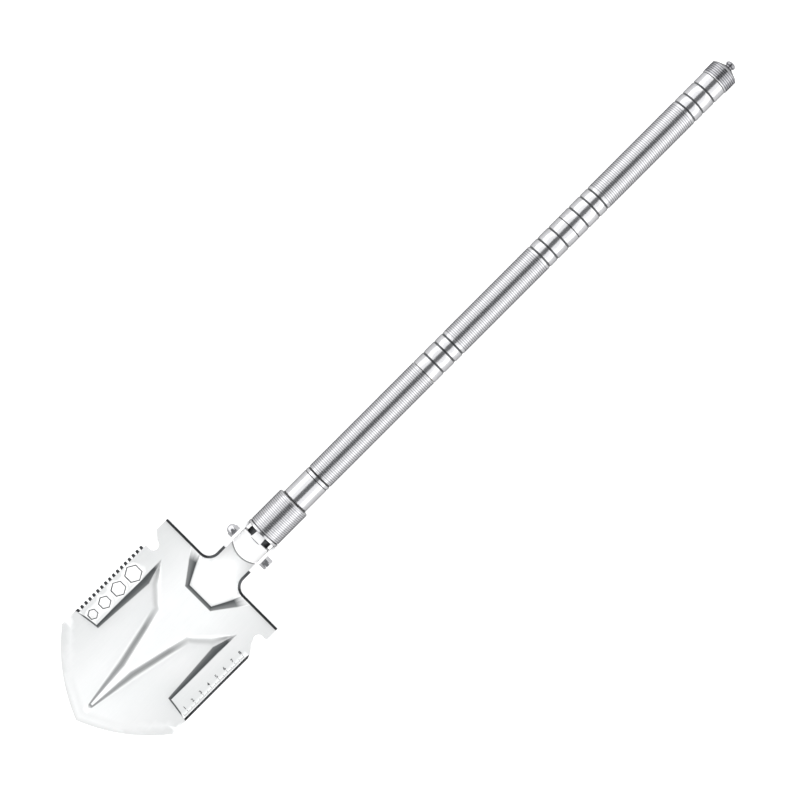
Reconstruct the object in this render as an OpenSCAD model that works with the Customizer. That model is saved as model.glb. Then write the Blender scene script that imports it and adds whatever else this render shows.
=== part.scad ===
// Folding camp shovel: stamped blade, locking joint and a screw-together handle.
// The handle's axis runs along X and the bolt that the blade folds on along Y.
// Sizes in millimetres. The modules are drawn with the fold bolt at the origin.

/* [Blade] */
// Blade length from the shoulders to the tip
blade_len = 188; // [160:1:230]
// Blade width over the saw teeth and the knife edge
blade_w = 139.8; // [130:0.2:170]
// Length of the straight sides, from the shoulders
side_len = 134; // [128:1:150]
// Radius of the two arcs that meet at the tip
tip_r = 160; // [130:5:260]
// Thickness of the steel sheet
sheet_t = 2.4; // [1.5:0.1:3]
// How deep the scoop lies below the face at the centre line
scoop_depth = 7; // [4:0.5:10]
// Width of the saw plank and of the ruler plank
plank_w = 22; // [18:0.5:26]
// Length of both planks
plank_len = 83; // [80:1:90]
// Height of the lip along the shoulders
lip_h = 2.4; // [1:0.2:4]

/* [Blade tools] */
// Saw pitch
tooth_pitch = 5; // [4:0.5:7]
// Width of the gap between two teeth
tooth_gap = 2; // [1:0.25:3]
// Depth of the gap between two teeth
tooth_depth = 3.4; // [2:0.2:4]
// Number of gaps in the saw
tooth_gaps = 17; // [8:1:17]
// Width across flats of the largest wrench hole
wrench_max = 13; // [10:0.5:14]
// Step in width from one wrench hole to the next
wrench_step = 1.9; // [1:0.1:2.2]
// Radius of the bottle-opener notches
notch_r = 5.4; // [4:0.2:7]

/* [Joint] */
// Gap between the two ears
ear_gap = 29; // [26:0.5:32]
// Thickness of each ear
ear_t = 2.7; // [2:0.1:3.5]
// Radius of each ear about the bolt
ear_r = 15.6; // [14:0.2:16]
// Diameter of the fold bolt
bolt_d = 8; // [6:0.5:10]
// Wall of the bush around the bolt
bush_wall = 1; // [0.6:0.1:1.5]
// Height of the tongue, front to back
tongue_h = 22; // [18:0.5:24]
// Diameter of the threaded neck
neck_d = 24; // [20:0.5:25]

/* [Locking collar] */
// Diameter over the knurl
collar_d = 33; // [31:0.2:33.6]
// Length of the knurled sleeve
collar_len = 37.3; // [30:0.1:45]
// Diameter of the thrust ring at its front
ring_d = 33.8; // [32:0.2:34]
// Length of the thrust ring
ring_len = 2.7; // [2:0.1:4]
// How far the collar backs off when it is unscrewed
collar_travel = 8; // [4:0.5:8]

/* [Handle] */
// Outside diameter of the tubes
tube_d = 26.4; // [24:0.2:27]
// Wall of the tubes
tube_wall = 1.5; // [1:0.1:2.5]
// Length of the smooth adapter behind the collar
adapter_len = 25.8; // [20:0.2:40]
// Length of the plain ring behind the adapter
adapter_ring_len = 3.4; // [2:0.1:6]
// Length of the lower tube
lower_len = 130.4; // [100:0.2:200]
// Length of the middle tube and of the upper tube
grip_len = 182; // [140:1:240]
// Diameter of the threads that join the tubes
stud_d = 18; // [14:0.5:20]
// Length of those threads
stud_len = 22; // [16:1:30]
// Width of each grip groove
groove_w = 2.7; // [1.5:0.1:4]
// Depth of each grip groove
groove_t = 0.5; // [0.2:0.1:0.8]

/* [Tail] */
// Diameter of the tail cap
cap_d = 27.6; // [27.2:0.2:32]
// Length of the knurled part of the cap
cap_len = 13.3; // [10:0.1:20]
// Length of the cone behind it
cone_len = 4.4; // [3:0.1:8]
// Diameter of the striker stud
striker_d = 9.6; // [7:0.2:12]
// How far the striker stands out
striker_len = 6.2; // [4:0.1:10]

/* [Fits] */
// Radial clearance between parts that turn or slide
run_fit = 0.08; // [0.05:0.01:0.1]
// Radial clearance between parts that are pressed or screwed fast
fast_fit = 0.02; // [0.01:0.01:0.05]
// Gap between two tubes that are screwed up tight
seam = 0.3; // [0.2:0.05:0.5]
// Clearance between flat faces that turn past each other
side_fit = 0.15; // [0.1:0.05:0.3]
// Clearance of a folded or turning part over the blade and the ears
fold_gap = 0.4; // [0.3:0.1:1]

/* [Hidden] */
$fn = 96;

// How far a cut runs past what it cuts
over = 1;

// Radii
ear_in = ear_gap / 2;
ear_out = ear_in + ear_t;
bolt_r = bolt_d / 2;
neck_r = neck_d / 2;
tube_r = tube_d / 2;
bore_r = tube_r - tube_wall;
stud_r = stud_d / 2;
cap_r = cap_d / 2;
striker_r = striker_d / 2;
striker_dome = striker_r / 2;

// The head's tongue, its rounded front and how deep the neck is rooted in it
tongue_front = -10.8;
tongue_back = 9.5;
tongue_dome_r = 20.6;
tongue_r = ear_r - 1;
neck_root = 3;

// O-rings: thickness, room beside the collar's, seats, and how much each is squeezed
o_ring_t = 1.3;
o_ring_room = 0.5;
seat_gap = 0.3;
seal_inset = 0.1;
seal_nip = 0.05;
head_ring_rise = 2.4;
head_ring_nip = 0.02;

// Stations along the handle
ring_slack = 0.1;
adapter_gap = 0.2;
ring_x = ear_r + fold_gap;
sleeve_x = ring_x + ring_len;
sleeve_end = sleeve_x + collar_len;
adapter_x = sleeve_end + o_ring_t + o_ring_room;
adapter_ring_x = adapter_x + adapter_len + adapter_gap;
head_end = adapter_ring_x + adapter_ring_len;
lower_x = head_end + o_ring_t;
middle_x = lower_x + lower_len + seam;
upper_x = middle_x + grip_len + seam;
cap_x = upper_x + grip_len + seam;
cone_x = cap_x + cap_len;
striker_x = cone_x + cone_len;
tail_end = striker_x + striker_len;

// Levels of the blade below the handle's axis: the folded collar stands over the face
face_rise = 2.2;
floor_gap = 1.6;
face_z = -(collar_d / 2 - face_rise);
floor_z = -(ring_d / 2 + floor_gap);
scoop_z = face_z - scoop_depth;
lip_w = sheet_t;

// The shoulders, the planks and the tip
shoulder_x = -35.6;
tip_x = shoulder_x - blade_len;
side_x = shoulder_x - side_len;
half_w = blade_w / 2;
scoop_r = half_w * half_w / (2 * scoop_depth);
apex_x = -65.2;
plank_inset = 6.5;
plank_x = apex_x - plank_inset - plank_len;
plank_y = half_w - plank_w;
arm_x = -104.7;
arm_y = 18;
crease_x = -155.8;
rib_stop = 21.5;
rib_end = tip_x + rib_stop;

// The recess and the neck
recess_x = -64.3;
recess_y = 13.5;
neck_y = 26.9;
neck_fillet = neck_y - ear_out;
neck_x = shoulder_x + neck_fillet;
web_x = -14.4;
web_r = 23;
web_root = 6;
ear_root = 4;
ear_lean = 40;

// Wrench holes, and the front end of the saw
wrench_x = [-92.6, -111.6, -128.9, -143.9];
wrench_inset = 13.4;
saw_x = apex_x - 2.5;

// Opener notches: place, depth, and how far the mouth opens to the tip and to the shoulder
saw_notch = [-61.6, 7.5, notch_r, 13];
ruler_notch = [-55.4, 4.5, 18.6, 6];

// Fastener sizes, and how far each stands out from the bolt's radius
washer_t = 0.8;
head_t = 6;
nut_t = 5.5;
nut_dome_t = 1;
head_lip = 1.5;
nut_lip = 1.8;
dome_lip = 1;
washer_lip = 2;
joint_sink = 0.01;
thread_room = 0.2;

// Grip grooves, from each end of a grip tube
groove_x = [12.5, 26.2, 36.2];

// How much shorter each rear stud is than the thread it screws into
stud_short = 2;
cap_stud_short = 1;
cone_lip = 0.5;

// Lying on its back: lowest point at 0 and the middle of the length at 0
mid_x = (tail_end + tip_x) / 2;
rest_z = -(scoop_z - sheet_t);

module place() {
    translate([-mid_x, 0, rest_z]) children();
}

// A turned shape along the handle's axis, from x0, with end radii r0 and r1
module turned(x0, len, r0, r1) {
    translate([x0, 0, 0]) rotate([0, 90, 0]) cylinder(h = len, r1 = r0, r2 = r1);
}

module rod(x0, len, r) {
    turned(x0, len, r, r);
}

module sleeve(x0, len, r_out, r_in) {
    difference() {
        rod(x0, len, r_out);
        rod(x0 - over, len + 2 * over, r_in);
    }
}

module o_ring(x, r_mid, r) {
    translate([x, 0, 0]) rotate([0, 90, 0])
        rotate_extrude() translate([r_mid, 0]) circle(r = r, $fn = 24);
}

// A round dome, h high on a base of radius r, standing up along Z
module dome(r, h) {
    ball = (r * r + h * h) / (2 * h);
    rotate_extrude() intersection() {
        translate([0, h - ball]) circle(r = ball);
        square([r, h]);
    }
}

// A shape drawn in X and Z, as thick as w from y0
module upright(y0, w) {
    translate([0, y0 + w, 0]) rotate([90, 0, 0]) linear_extrude(w) children();
}

// Outline helpers
function normal(a, b) = [a.y - b.y, b.x - a.x] / norm(b - a);
function beside(p, w) = [for (i = [0 : len(p) - 1])
    let (n0 = i == 0 ? normal(p[0], p[1]) : normal(p[i - 1], p[i]),
         n1 = i == len(p) - 1 ? n0 : normal(p[i], p[i + 1]))
    p[i] + w * (n0 + n1) / (1 + n0 * n1)];
function back_to_front(p) = [for (i = [len(p) - 1 : -1 : 0]) p[i]];
function flip(p) = [for (q = p) [q.x, -q.y]];

// A strip of width w on the left of a line of points
module strip(p, w) {
    polygon(concat(p, back_to_front(beside(p, w))));
}

// One side of the tip: an arc from the side's end to the tip
function tip_arc() =
    let (a = [side_x, half_w], b = [tip_x, 0], c = (a + b) / 2, h = norm(b - a) / 2,
         o = c + sqrt(tip_r * tip_r - h * h) * normal(a, b),
         a0 = atan2(a.y - o.y, a.x - o.x), a1 = atan2(b.y - o.y, b.x - o.x))
    [for (i = [0 : 12]) o + tip_r * [cos(a0 + (a1 - a0) * i / 12), sin(a0 + (a1 - a0) * i / 12)]];

module outline() {
    half = concat([[shoulder_x, half_w]], tip_arc());
    polygon(concat(half, back_to_front(flip(half))));
}

// The rib that runs from the face down to the tip, as an arrowhead
rib = [[apex_x, plank_y], [arm_x, arm_y], [rib_end, 0]];

module rib_area() {
    polygon(concat([[shoulder_x, plank_y]], rib, back_to_front(flip(rib)), [[shoulder_x, -plank_y]]));
}

module face_area() {
    intersection() {
        outline();
        union() {
            rib_area();
            for (s = [-1, 1]) {
                polygon([[shoulder_x, s * plank_y], [plank_x, s * plank_y],
                         [plank_x, s * half_w], [shoulder_x, s * half_w]]);
            }
        }
    }
}

// Where the sheet lies at the face, inside the walls that step down to the scoop
module face_inside() {
    side = beside(rib, sheet_t / 2);
    slope = arm_y / (arm_x - rib_end);
    inner = [side[0], side[1], [rib_end + sheet_t / 2 * sqrt(1 + slope * slope) / slope, 0]];
    polygon(concat([[shoulder_x + over, plank_y]], inner, back_to_front(flip(inner)),
                   [[shoulder_x + over, -plank_y]]));
    for (s = [-1, 1]) {
        polygon([[shoulder_x + over, 0], [shoulder_x + over, s * (half_w + over)],
                 [plank_x + sheet_t / 2, s * (half_w + over)],
                 [plank_x + sheet_t / 2, s * (plank_y + sheet_t / 2)],
                 [apex_x + 2 * over, s * (plank_y + sheet_t / 2)], [apex_x + 4 * over, 0]]);
    }
}

// A solid cylinder along X whose lowest line is that of the scoop
module above_scoop(r) {
    translate([tip_x - over, 0, scoop_z + scoop_r]) rotate([0, 90, 0])
        cylinder(h = blade_len + 2 * over, r = r, $fn = 180);
}

module scoop_sheet() {
    difference() {
        intersection() {
            translate([0, 0, scoop_z - 2 * sheet_t]) linear_extrude(scoop_depth + 3 * sheet_t)
                difference() {
                    outline();
                    face_inside();
                }
            above_scoop(scoop_r + sheet_t);
        }
        above_scoop(scoop_r);
    }
}

// The flat face, with the rib's point sloping down into the scoop from its crease
module face_sheet() {
    translate([0, 0, face_z - sheet_t]) linear_extrude(sheet_t) difference() {
        face_area();
        translate([tip_x, -arm_y]) square([crease_x - tip_x, 2 * arm_y]);
    }
    intersection() {
        upright(-arm_y, 2 * arm_y) polygon([
            [crease_x, face_z], [crease_x, face_z - sheet_t],
            [rib_end, scoop_z - sheet_t], [rib_end, scoop_z]]);
        translate([0, 0, scoop_z - sheet_t]) linear_extrude(scoop_depth + sheet_t) rib_area();
    }
}

// Walls between the face and the scoop; the rib's run on a little past the planks' corners
rib_wall = concat([rib[0] + sheet_t * (rib[0] - rib[1]) / norm(rib[0] - rib[1])], rib);

module scoop_walls() {
    intersection() {
        difference() {
            translate([0, 0, scoop_z - 2 * sheet_t]) linear_extrude(scoop_depth + 2 * sheet_t) {
                strip(rib_wall, sheet_t);
                strip(back_to_front(flip(rib_wall)), sheet_t);
                for (s = [-1, 1]) {
                    translate([plank_x, s > 0 ? plank_y : -plank_y - sheet_t])
                        square([apex_x - plank_x + sheet_t, sheet_t]);
                    translate([plank_x, s > 0 ? plank_y : -half_w]) square([sheet_t, plank_w]);
                }
            }
            upright(-arm_y, 2 * arm_y) polygon([
                [crease_x, face_z], [crease_x, face_z + over], [tip_x, face_z + over],
                [tip_x, scoop_z], [rib_end, scoop_z]]);
        }
        above_scoop(scoop_r + sheet_t);
    }
}

// The recess that takes the collar when the blade is folded, and the channel to the ears
recess = [[shoulder_x, neck_y], [recess_x, recess_y], [recess_x, -recess_y], [shoulder_x, -neck_y]];

// A quarter of the fillet between a shoulder and an ear, r wide, about its centre
function neck_arc(r) = [for (i = [0 : 8])
    [neck_x, neck_y] + [-r * cos(90 * i / 8), -r * sin(90 * i / 8)]];

module neck_floor() {
    translate([0, 0, floor_z - sheet_t]) linear_extrude(sheet_t) difference() {
        union() {
            polygon(recess);
            polygon(concat(neck_arc(neck_fillet),
                           [[web_x + web_root, ear_out], [web_x + web_root, -ear_out]],
                           back_to_front(flip(neck_arc(neck_fillet)))));
        }
        translate([web_x + web_r, 0]) circle(r = web_r);
    }
}

// Lip and walls that run from a shoulder round the fillet to the ear
module neck_wall() {
    translate([0, 0, floor_z - sheet_t]) linear_extrude(face_z + lip_h - floor_z + sheet_t)
        polygon(concat(neck_arc(neck_fillet), [[web_x, ear_out], [web_x, ear_in]],
                       back_to_front(neck_arc(neck_fillet + ear_t))));
    translate([shoulder_x - lip_w, neck_y, face_z - sheet_t])
        cube([lip_w, half_w - neck_y, sheet_t + lip_h]);
}

module recess_walls() {
    translate([0, 0, floor_z - sheet_t]) linear_extrude(face_z - floor_z + sheet_t)
        strip(back_to_front(recess), -sheet_t);
}

module ear() {
    upright(ear_in, ear_t) {
        circle(r = ear_r);
        polygon([[neck_x, floor_z - sheet_t], [neck_x, face_z + lip_h], [-tongue_r, face_z + lip_h],
                 [-ear_r * cos(ear_lean), -ear_r * sin(ear_lean)], [0, 0], [0, -ear_r],
                 [web_x + ear_root, floor_z - sheet_t]]);
    }
}

// Wrench holes and saw gaps on one side, an opener notch on each side
module wrench_holes() {
    for (i = [0 : len(wrench_x) - 1]) {
        translate([wrench_x[i], half_w - wrench_inset]) rotate(30)
            circle(r = (wrench_max - i * wrench_step) / 2 / cos(30), $fn = 6);
    }
}

// The first gap runs on into the opener notch beside it
module saw_gaps() {
    for (i = [0 : tooth_gaps - 1]) {
        x = saw_x - tooth_gap - i * tooth_pitch;
        translate([x, half_w - tooth_depth])
            square([i == 0 ? saw_notch[0] - x : tooth_gap, tooth_depth + over]);
    }
}

module opener_notch(place) {
    x = place[0];
    y = half_w - place[1];
    translate([x, y]) circle(r = notch_r);
    polygon([[x - notch_r, y], [x - place[2], half_w + over], [x + place[3], half_w + over],
             [x + notch_r, y], [x, y - notch_r / 2]]);
}

// The stamped sheet, open over the recess
module stamping() {
    difference() {
        union() {
            scoop_sheet();
            face_sheet();
            scoop_walls();
            neck_floor();
            recess_walls();
        }
        translate([0, 0, floor_z]) linear_extrude(face_z - floor_z + over) polygon(recess);
    }
}

module blade() {
    color("gainsboro") difference() {
        union() {
            stamping();
            for (s = [0, 1]) mirror([0, s, 0]) {
                neck_wall();
                ear();
            }
        }
        translate([0, 0, scoop_z - 3 * sheet_t]) linear_extrude(scoop_depth + 4 * sheet_t) {
            wrench_holes();
            saw_gaps();
            opener_notch(saw_notch);
            mirror([0, 1]) opener_notch(ruler_notch);
        }
        rotate([90, 0, 0]) cylinder(h = 2 * (ear_out + over), r = bolt_r + fast_fit, center = true);
    }
}

// Fold bolt with a hexagon head on the ruler side and an acorn nut on the saw side
module pivot_bolt() {
    seat = ear_out + washer_t;
    color("silver") rotate([90, 0, 0]) {
        translate([0, 0, nut_dome_t - seat - nut_t]) cylinder(h = 2 * seat + nut_t, r = bolt_r);
        translate([0, 0, seat]) cylinder(h = head_t, r = bolt_r + head_lip, $fn = 6);
    }
}

module acorn_nut() {
    color("silver") translate([0, ear_out + washer_t, 0]) rotate([-90, 0, 0]) difference() {
        union() {
            cylinder(h = nut_t - nut_dome_t, r = bolt_r + nut_lip, $fn = 6);
            translate([0, 0, nut_t - nut_dome_t - joint_sink]) dome(bolt_r + dome_lip, bolt_r);
        }
        translate([0, 0, -over]) cylinder(h = nut_t + over + thread_room, r = bolt_r + fast_fit);
    }
}

module bolt_washers() {
    color("lightgrey") for (s = [-1, 1]) {
        translate([0, s * (ear_out + washer_t / 2), 0]) rotate([90, 0, 0]) difference() {
            cylinder(h = washer_t, r = bolt_r + washer_lip, center = true);
            cylinder(h = washer_t + over, r = bolt_r + fast_fit, center = true);
        }
    }
}

module pivot_bush() {
    color("goldenrod") rotate([90, 0, 0]) difference() {
        cylinder(h = ear_gap - 2 * side_fit, r = bolt_r + run_fit + bush_wall, center = true);
        cylinder(h = ear_gap + over, r = bolt_r + run_fit, center = true);
    }
}

// Tongue between the ears, threaded neck, shank and rear stud in one turned piece
module joint_head() {
    color("lightgrey") difference() {
        union() {
            intersection() {
                translate([tongue_front, -ear_in + side_fit, -tongue_h / 2])
                    cube([tongue_back - tongue_front, ear_gap - 2 * side_fit, tongue_h]);
                translate([tongue_front + tongue_dome_r, 0, 0])
                    cylinder(h = tongue_h + over, r = tongue_dome_r, center = true);
                rotate([90, 0, 0]) cylinder(h = ear_gap, r = tongue_r, center = true);
            }
            rod(tongue_back - neck_root, adapter_x - tongue_back + neck_root, neck_r);
            rod(adapter_x - over, head_end + o_ring_t + stud_len - adapter_x, stud_r);
        }
        rotate([90, 0, 0])
            cylinder(h = ear_gap + over, r = bolt_r + run_fit + bush_wall + fast_fit, center = true);
    }
}

module head_adapter() {
    color("gainsboro") sleeve(adapter_x, adapter_len, tube_r, stud_r + fast_fit);
}

module adapter_ring() {
    color("silver") sleeve(adapter_ring_x, adapter_ring_len, tube_r, stud_r + fast_fit);
}

module thrust_ring() {
    color("silver") difference() {
        rod(ring_x, ring_len - ring_slack, ring_d / 2);
        rod(ring_x - over, ring_len + 2 * over, neck_r + run_fit);
    }
}

// Knurled sleeve; its rear counterbore clears the O-ring and the adapter's nose
module locking_collar() {
    color("lightgrey") difference() {
        rod(sleeve_x, collar_len, collar_d / 2);
        rod(sleeve_x - over, collar_len + 2 * over, neck_r + run_fit);
        rod(sleeve_end - collar_travel - over, collar_travel + 2 * over, tube_r + fold_gap);
    }
}

module collar_o_ring() {
    color("black") o_ring(sleeve_end + (o_ring_t + o_ring_room) / 2, neck_r + o_ring_t / 2 + fast_fit,
                          o_ring_t / 2);
}

module head_o_ring() {
    color("black") o_ring(head_end + o_ring_t / 2, stud_r + o_ring_t / 2 + fast_fit + head_ring_rise,
                          o_ring_t / 2 - head_ring_nip);
}

// The seat that an O-ring takes in the front of a threaded bore
module seal_seat(x0) {
    rod(x0 - over, over + o_ring_t + seat_gap, stud_r + o_ring_t + seat_gap);
}

// A threaded insert in the front of a tube, with a seat for its O-ring
module insert(x0) {
    difference() {
        sleeve(x0, stud_len, bore_r - fast_fit, stud_r + run_fit);
        seal_seat(x0);
    }
}

// A plug in the rear of a tube that ends at x0, with a stud that stands out
module coupler(x0, out) {
    rod(x0 - stud_len, stud_len, bore_r - fast_fit);
    rod(x0 - over, out + over, stud_r);
}

module seal(x0) {
    r = o_ring_t / 2 - seal_nip;
    color("black") o_ring(x0 + o_ring_t / 2 + seal_inset, stud_r + r + run_fit, r);
}

module lower_tube() {
    color("silver") sleeve(lower_x, lower_len, tube_r, bore_r);
}

module lower_insert() {
    color("goldenrod") insert(lower_x);
}

module lower_coupler() {
    color("lightgrey") coupler(lower_x + lower_len, stud_len - stud_short);
}

module lower_o_ring() {
    seal(middle_x);
}

// A grip tube, with the same grooves measured from each end
module grip_tube(x0) {
    difference() {
        sleeve(x0, grip_len, tube_r, bore_r);
        for (g = groove_x, end = [0, 1]) {
            translate([end == 0 ? x0 + g - groove_w / 2 : x0 + grip_len - g - groove_w / 2, 0, 0])
                sleeve(0, groove_w, tube_r + over, tube_r - groove_t);
        }
    }
}

module middle_tube() {
    color("silver") grip_tube(middle_x);
}

module middle_insert() {
    color("goldenrod") insert(middle_x);
}

module middle_coupler() {
    color("lightgrey") coupler(middle_x + grip_len, stud_len - stud_short);
}

module middle_o_ring() {
    seal(upper_x);
}

module upper_tube() {
    color("silver") grip_tube(upper_x);
}

module upper_insert() {
    color("goldenrod") insert(upper_x);
}

module tail_plug() {
    color("lightgrey") coupler(upper_x + grip_len, cap_len - cap_stud_short);
}

module tail_o_ring() {
    seal(cap_x);
}

module tail_cap() {
    color("silver") difference() {
        union() {
            rod(cap_x, cap_len, cap_r);
            turned(cone_x, cone_len, cap_r, striker_r + cone_lip);
        }
        rod(cap_x - over, cap_len + over, stud_r + run_fit);
        seal_seat(cap_x);
        rod(cone_x - over, cone_len + 2 * over, striker_r / 2 + fast_fit);
    }
}

module striker_stud() {
    color("grey") {
        rod(cone_x, cone_len + over, striker_r / 2);
        rod(striker_x, striker_len - striker_dome, striker_r);
        translate([tail_end - striker_dome, 0, 0]) rotate([0, 90, 0]) dome(striker_r, striker_dome);
    }
}

place() blade();
place() pivot_bolt();
place() acorn_nut();
place() bolt_washers();
place() pivot_bush();
place() joint_head();
place() head_adapter();
place() adapter_ring();
place() thrust_ring();
place() locking_collar();
place() collar_o_ring();
place() head_o_ring();
place() lower_tube();
place() lower_insert();
place() lower_coupler();
place() lower_o_ring();
place() middle_tube();
place() middle_insert();
place() middle_coupler();
place() middle_o_ring();
place() upper_tube();
place() upper_insert();
place() tail_plug();
place() tail_o_ring();
place() tail_cap();
place() striker_stud();
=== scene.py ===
"""Looks of the folding camp shovel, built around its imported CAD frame.

Shapes are written in millimetres about the fold bolt: X runs to the tail, Y to the saw side and Z to
the blade's front. in_frame() turns them into the frame's metres.
"""
import math

import bpy
import numpy as np
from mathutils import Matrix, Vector
from mathutils.geometry import delaunay_2d_cdt


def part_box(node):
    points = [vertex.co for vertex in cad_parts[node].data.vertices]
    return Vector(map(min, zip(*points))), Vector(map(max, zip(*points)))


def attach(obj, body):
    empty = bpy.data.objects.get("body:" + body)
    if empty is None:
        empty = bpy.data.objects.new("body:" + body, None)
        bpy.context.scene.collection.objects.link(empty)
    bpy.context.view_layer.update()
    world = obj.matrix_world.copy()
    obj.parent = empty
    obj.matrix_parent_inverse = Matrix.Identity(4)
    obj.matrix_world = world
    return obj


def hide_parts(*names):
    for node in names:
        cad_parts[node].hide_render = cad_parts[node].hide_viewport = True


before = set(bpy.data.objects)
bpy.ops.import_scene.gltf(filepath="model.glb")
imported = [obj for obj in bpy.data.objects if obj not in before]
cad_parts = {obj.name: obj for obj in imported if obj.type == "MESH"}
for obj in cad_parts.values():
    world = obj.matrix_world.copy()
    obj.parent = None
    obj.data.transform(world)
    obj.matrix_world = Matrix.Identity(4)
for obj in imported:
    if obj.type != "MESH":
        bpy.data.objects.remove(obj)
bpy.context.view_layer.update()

MM = 0.001
bolt_lo, bolt_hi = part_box("pivot_bolt")
PIVOT = Vector(((bolt_lo.x + bolt_hi.x) / 2, 0.0, (bolt_lo.z + bolt_hi.z) / 2))


def in_frame(p):
    """A point in millimetres about the fold bolt, as metres in the frame."""
    return (PIVOT.x + p[0] * MM, PIVOT.y + p[1] * MM, PIVOT.z + p[2] * MM)


def span(node):
    """Where a CAD node starts and ends along the handle, in millimetres from the bolt."""
    lo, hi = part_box(node)
    return (lo.x - PIVOT.x) / MM, (hi.x - PIVOT.x) / MM


def reach(node):
    """The outside radius of a turned CAD node, in millimetres."""
    lo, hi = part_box(node)
    return (hi.y - lo.y) / 2 / MM


# ---------------------------------------------------------------- camera, light and floor

VIEW_CENTRE = (186.8, -2.4, 0.0)
VIEW_HEIGHT = 1690.0
VIEW_TURN = math.radians(-45)
LENS = 85.5


def make_camera():
    data = bpy.data.cameras.new("camera")
    data.lens = LENS
    camera = bpy.data.objects.new("camera", data)
    bpy.context.scene.collection.objects.link(camera)
    x, y, z = VIEW_CENTRE
    camera.location = in_frame((x, y, z + VIEW_HEIGHT))
    camera.rotation_euler = (0.0, 0.0, VIEW_TURN)
    bpy.context.scene.camera = camera


SOFTBOX_POWER = 28.5
SOFTBOX_LENGTH = 3.2
SOFTBOX_TOP = (0.40, 1.25)
SOFTBOX_FOOT = (1.55, 0.12)
SKY_COLOUR = (0.82, 0.84, 0.86, 1.0)
SKY_STRENGTH = 0.34
FLOOR_SIDES = 96
FLOOR_CENTRE = 0.001
FLOOR_GLOW = 0.68
FLOOR_RADIUS = 3.4
COVE_RADIUS = 1.0
COVE_STEPS = 12
WALL_HEIGHT = 3.0


def make_softboxes():
    """Two long softboxes beside the handle, with a narrow gap between them overhead."""
    rise = SOFTBOX_TOP[1] - SOFTBOX_FOOT[1]
    run = SOFTBOX_FOOT[0] - SOFTBOX_TOP[0]
    for name, side in (("softbox_saw", 1), ("softbox_ruler", -1)):
        data = bpy.data.lights.new(name, "AREA")
        data.shape = "RECTANGLE"
        data.size = SOFTBOX_LENGTH
        data.size_y = math.hypot(rise, run)
        data.energy = SOFTBOX_POWER
        light = bpy.data.objects.new(name, data)
        bpy.context.scene.collection.objects.link(light)
        light.location = (0.0, side * (SOFTBOX_TOP[0] + SOFTBOX_FOOT[0]) / 2,
                          (SOFTBOX_TOP[1] + SOFTBOX_FOOT[1]) / 2)
        light.rotation_euler = (-side * math.atan2(rise, run), 0.0, 0.0)
        light.visible_camera = False


def make_world():
    world = bpy.data.worlds.new("studio")
    world.use_nodes = True
    background = world.node_tree.nodes["Background"]
    background.inputs["Color"].default_value = SKY_COLOUR
    background.inputs["Strength"].default_value = SKY_STRENGTH
    bpy.context.scene.world = world
    bpy.context.scene.view_settings.view_transform = "Standard"


def band_faces(rows, sides):
    """Quads between neighbouring rows of points, each row closed on itself."""
    faces = []
    for j in range(rows - 1):
        for a in range(sides):
            b = (a + 1) % sides
            faces.append((j * sides + a, j * sides + b, (j + 1) * sides + b, (j + 1) * sides + a))
    return faces


def solid_faces(rows, sides, flip):
    """The same quads with a cap at each end; flip turns them all to the other side."""
    last = (rows - 1) * sides
    faces = band_faces(rows, sides)
    faces += [tuple(reversed(range(sides))), tuple(range(last, last + sides))]
    return [tuple(reversed(f)) for f in faces] if flip else faces


def make_floor(material):
    """A pale floor that curves up into a round wall."""
    profile = [(FLOOR_CENTRE, 0.0), (FLOOR_RADIUS - COVE_RADIUS, 0.0)]
    for i in range(1, COVE_STEPS + 1):
        turn = math.pi / 2 * i / COVE_STEPS
        profile.append((FLOOR_RADIUS - COVE_RADIUS + COVE_RADIUS * math.sin(turn),
                        COVE_RADIUS - COVE_RADIUS * math.cos(turn)))
    profile.append((FLOOR_RADIUS, WALL_HEIGHT))
    turns = [2 * math.pi * a / FLOOR_SIDES for a in range(FLOOR_SIDES)]
    verts = [(r * math.cos(turn), r * math.sin(turn), z) for r, z in profile for turn in turns]
    faces = [tuple(range(FLOOR_SIDES))] + band_faces(len(profile), FLOOR_SIDES)
    mesh = bpy.data.meshes.new("floor")
    mesh.from_pydata(verts, [], faces)
    mesh.polygons.foreach_set("use_smooth", [True] * len(mesh.polygons))
    mesh.materials.append(material)
    floor = bpy.data.objects.new("floor", mesh)
    bpy.context.scene.collection.objects.link(floor)


# ---------------------------------------------------------------- materials

DRIFT_SCALE = 28.0
TOOL_MARK = 0.00004
GLOSS_SWING = 0.05


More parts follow.
